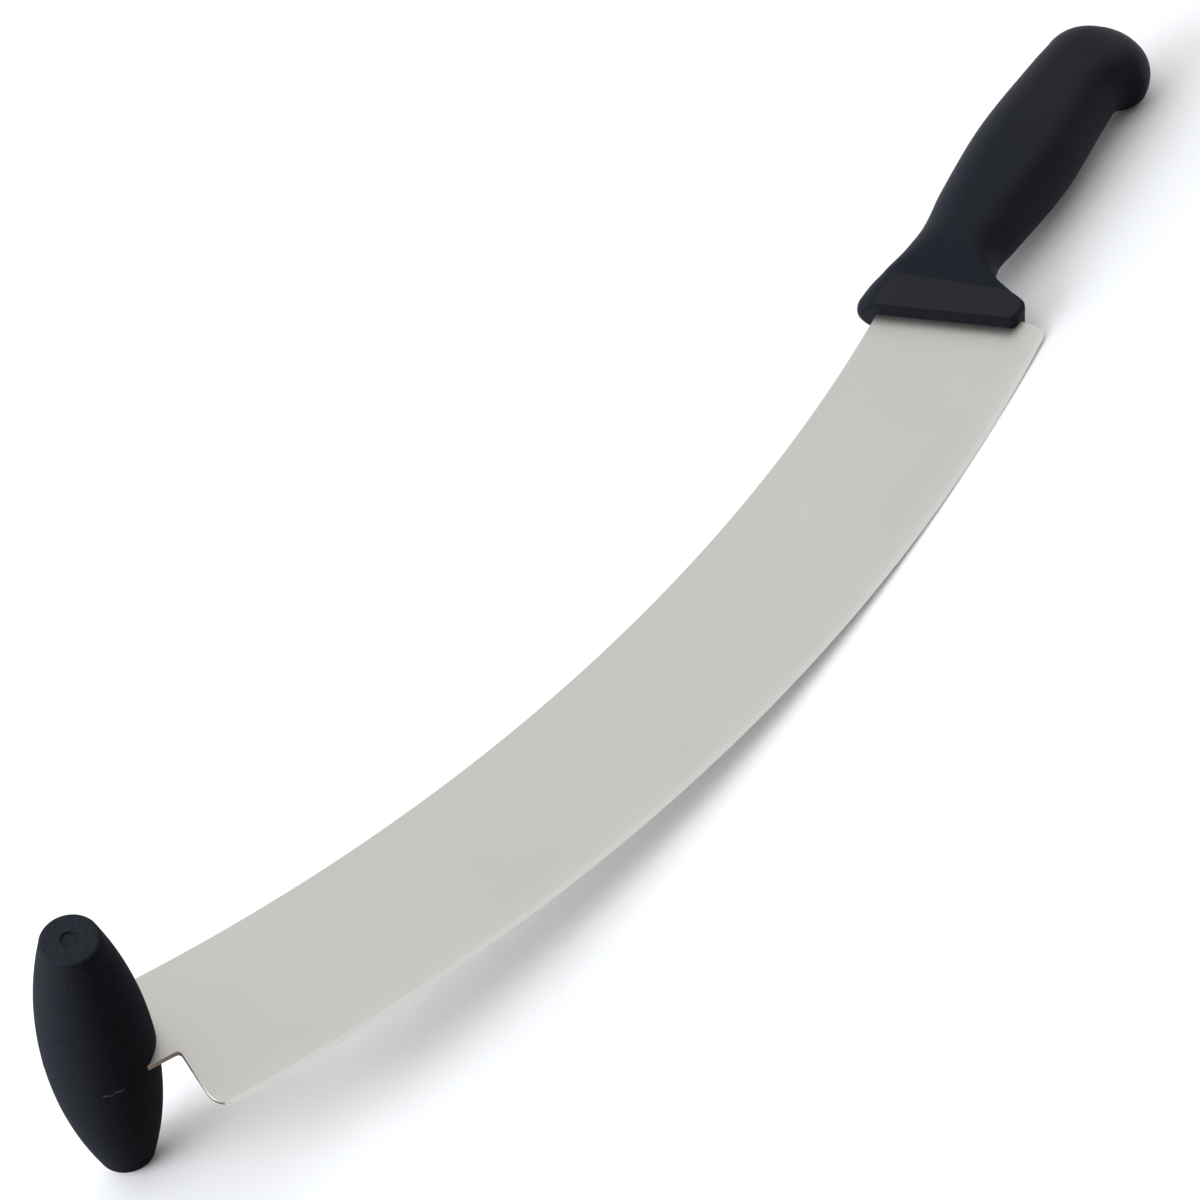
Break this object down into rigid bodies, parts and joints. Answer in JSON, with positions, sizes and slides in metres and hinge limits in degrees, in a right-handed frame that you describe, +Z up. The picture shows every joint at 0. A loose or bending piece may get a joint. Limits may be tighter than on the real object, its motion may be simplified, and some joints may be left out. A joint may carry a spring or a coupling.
{
  "type": "two-handled cheese knife",
  "caption": "Cheese knife with a long curved steel blade, a sculpted grip with guard and beak at the heel and a barrel-shaped cross handle at the tip, for pressing through large cheeses.",
  "frame": {"origin": "centre of the underside of the box round the knife as it lies on a table", "axes": "+Z up from the table; +X along the knife from the cross handle to the main handle; +Y towards the blade's spine. The knife lies on its guard, its cutting edge and the lower rim of its cross handle, so the blade leans about 24 degrees and the cross handle stands up and leans with it"},
  "size_m": [0.4958, 0.0996, 0.102],
  "materials": {
    "blade_steel": "fine satin grind, with a brighter honed bevel along the cutting edge",
    "handle_plastic": "blue-black moulded polypropylene with a fine spark-eroded grain"
  },
  "bodies": {
    "root": {"blade": "blade_steel", "main_handle": "handle_plastic", "cross_handle": "handle_plastic"}
  },
  "joints": []
}
